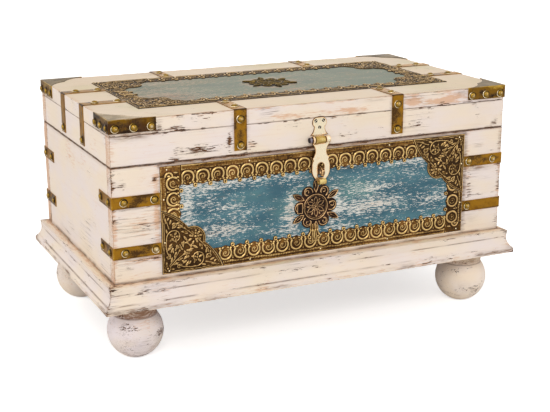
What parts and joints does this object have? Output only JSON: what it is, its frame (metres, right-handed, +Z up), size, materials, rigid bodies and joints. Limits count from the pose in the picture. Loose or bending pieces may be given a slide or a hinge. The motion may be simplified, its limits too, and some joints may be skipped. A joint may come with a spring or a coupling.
{
  "type": "damchiya chest",
  "caption": "Low painted wooden blanket chest on ball feet, with a hinged lid, hasp and staple, pressed brass borders and medallions, and nailed brass straps.",
  "frame": {"origin": "on the floor under the middle of the chest", "axes": "+X to the right as one faces the front, +Y from the front to the back, +Z up"},
  "size_m": [0.902, 0.527, 0.4795],
  "materials": {
    "white_painted_wood": "chalky cream-white paint, rubbed through to brown wood at the edges",
    "blue_painted_wood": "chalky cream-white paint with a rubbed grey-blue field inside the brass border",
    "raw_wood": "bare brown hardwood, dry and unpolished",
    "pressed_brass": "thin pressed brass sheet, dark brown in the hollows and rubbed gold on the ridges",
    "strap_brass": "aged olive-gold brass strip, scratched",
    "nail_brass": "rubbed brass nail heads",
    "hasp_brass": "pale polished cast brass, dark in the corners",
    "steel": "dull dark steel"
  },
  "bodies": {
    "chest": {"front_board": "blue_painted_wood", "back_board": "white_painted_wood", "left_board": "white_painted_wood", "right_board": "white_painted_wood", "bottom_board": "raw_wood", "plinth_front": "white_painted_wood", "plinth_back": "white_painted_wood", "plinth_left": "white_painted_wood", "plinth_right": "white_painted_wood", "foot_front_left": "white_painted_wood", "foot_front_right": "white_painted_wood", "foot_back_left": "white_painted_wood", "foot_back_right": "white_painted_wood", "foot_blocks": "raw_wood", "front_border_top": "pressed_brass", "front_border_bottom": "pressed_brass", "front_border_left": "pressed_brass", "front_border_right": "pressed_brass", "front_corner_upper_right": "pressed_brass", "front_corner_lower_left": "pressed_brass", "front_medallion": "pressed_brass", "straps_front_left": "strap_brass", "straps_front_right": "strap_brass", "straps_back_left": "strap_brass", "straps_back_right": "strap_brass", "body_studs": "nail_brass", "body_pins": "nail_brass", "hasp_staple": "hasp_brass", "hinge_body_leaves": "steel", "hinge_body_screws": "steel", "hinge_pins": "steel"},
    "lid": {"lid_top_board": "blue_painted_wood", "lid_front_rail": "white_painted_wood", "lid_back_rail": "white_painted_wood", "lid_left_rail": "white_painted_wood", "lid_right_rail": "white_painted_wood", "lid_bracket_front_left": "strap_brass", "lid_bracket_front_right": "strap_brass", "lid_bracket_back_left": "strap_brass", "lid_bracket_back_right": "strap_brass", "lid_straps_front": "strap_brass", "lid_straps_back": "strap_brass", "lid_straps_left": "strap_brass", "lid_straps_right": "strap_brass", "lid_border_front": "pressed_brass", "lid_border_back": "pressed_brass", "lid_border_left": "pressed_brass", "lid_border_right": "pressed_brass", "lid_corner_plates": "pressed_brass", "lid_medallion": "pressed_brass", "lid_studs": "nail_brass", "lid_pins": "nail_brass", "hasp_plate": "hasp_brass", "hasp_pin": "steel", "hasp_plate_screws": "steel", "hinge_lid_leaves": "steel", "hinge_lid_screws": "steel"},
    "hasp": {"hasp_leaf": "hasp_brass"}
  },
  "joints": [
    {"name": "lid_hinge", "type": "hinge", "parent": "chest", "child": "lid", "pos_m": [0, 0.2422, 0.38615], "axis": [-1, 0, 0], "range_deg": [0, 100]},
    {"name": "hasp_hinge", "type": "hinge", "parent": "lid", "child": "hasp", "pos_m": [-0.004, -0.2449, 0.401], "axis": [-1, 0, 0], "range_deg": [0, 165]}
  ]
}
